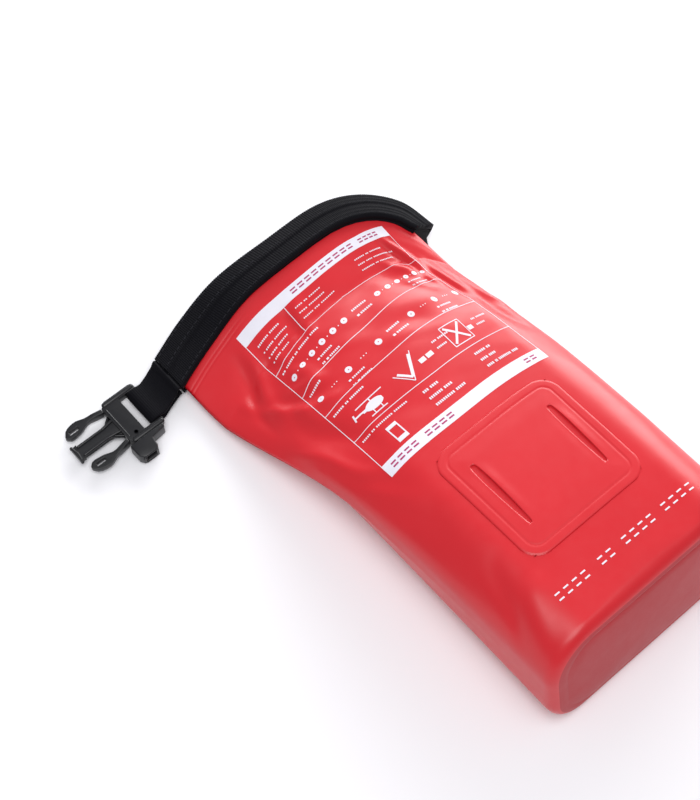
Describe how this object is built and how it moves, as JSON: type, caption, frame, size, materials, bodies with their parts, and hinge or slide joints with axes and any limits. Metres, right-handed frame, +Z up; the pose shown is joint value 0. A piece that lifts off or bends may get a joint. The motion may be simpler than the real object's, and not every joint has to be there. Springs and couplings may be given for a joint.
{
  "type": "roll-top first-aid pouch",
  "caption": "Small red roll-top waterproof first-aid pouch with a belt patch, black webbing band, whistle side-release buckle and a packed kit inside.",
  "frame": {"origin": "on the flat underside, below the crease between the front and the base", "axes": "+Z up out of the front face, +Y from the base to the rolled mouth, +X to the right when looking from base to mouth"},
  "size_m": [0.2084, 0.2682, 0.06],
  "materials": {
    "tarpaulin": "glossy PVC-coated red fabric",
    "patch": "glossy red PVC sheet",
    "inner_tape": "matt red tape",
    "webbing": "black ribbed polyester webbing",
    "thread": "black sewing thread",
    "buckle_plastic": "satin black acetal",
    "stiffener": "natural plastic",
    "foil_pack": "metallised film",
    "cotton": "white gauze",
    "paper_wrap": "white paper wrap",
    "glove_wrap": "blue film"
  },
  "bodies": {
    "pouch": {"bag_shell": "tarpaulin", "base_panel": "tarpaulin", "seam_tape": "inner_tape", "strap_patch": "patch", "rescue_blanket_pack": "foil_pack", "triangular_bandage_pack": "paper_wrap", "gauze_roll_a": "cotton", "gauze_roll_b": "cotton", "gauze_roll_c": "cotton", "wound_dressing_pack": "paper_wrap", "glove_pack": "glove_wrap", "instruction_leaflet": "paper_wrap"},
    "rolled_mouth": {"mouth_roll": "tarpaulin", "mouth_webbing_front": "webbing", "mouth_webbing_back": "webbing", "mouth_stiffener": "stiffener"},
    "male_tab": {"male_tab_webbing": "webbing", "male_tab_bartack": "thread"},
    "male_buckle": {"male_buckle_frame": "buckle_plastic", "whistle_body": "buckle_plastic"},
    "left_prong": {"prong_left": "buckle_plastic"},
    "right_prong": {"prong_right": "buckle_plastic"},
    "female_tab": {"female_tab_webbing": "webbing", "female_tab_bartack": "thread"},
    "female_buckle": {"female_buckle_shell": "buckle_plastic"}
  },
  "joints": [
    {"name": "roll_lift", "type": "hinge", "parent": "pouch", "child": "rolled_mouth", "pos_m": [-0.077, 0.2227, 0.0069], "axis": [0.9856, -0.0685, 0.1543], "range_deg": [0, 90]},
    {"name": "male_tab_fold", "type": "hinge", "parent": "rolled_mouth", "child": "male_tab", "pos_m": [-0.0794, 0.23275, 0.0039], "axis": [0, 1, 0], "range_deg": [-60, 60]},
    {"name": "male_buckle_pivot", "type": "hinge", "parent": "male_tab", "child": "male_buckle", "pos_m": [-0.0964, 0.22865, 0.0039], "axis": [0, 1, 0], "range_deg": [-35, 35]},
    {"name": "prong_left_flex", "type": "hinge", "parent": "male_buckle", "child": "left_prong", "pos_m": [-0.1133, 0.21865, 0.0039], "axis": [0, 0, 1], "range_deg": [-5, 0], "stiffness_Nm_per_rad": 0.05},
    {"name": "prong_right_flex", "type": "hinge", "parent": "male_buckle", "child": "right_prong", "pos_m": [-0.1133, 0.23865, 0.0039], "axis": [0, 0, 1], "range_deg": [0, 5], "stiffness_Nm_per_rad": 0.05},
    {"name": "female_tab_fold", "type": "hinge", "parent": "rolled_mouth", "child": "female_tab", "pos_m": [0.06443, 0.19971, 0.01522], "axis": [0.4311, -0.9023, 0], "range_deg": [0, 60]},
    {"name": "female_buckle_pivot", "type": "hinge", "parent": "female_tab", "child": "female_buckle", "pos_m": [0.05112, 0.19336, 0.0049], "axis": [0.4311, -0.9023, 0], "range_deg": [0, 30]}
  ]
}
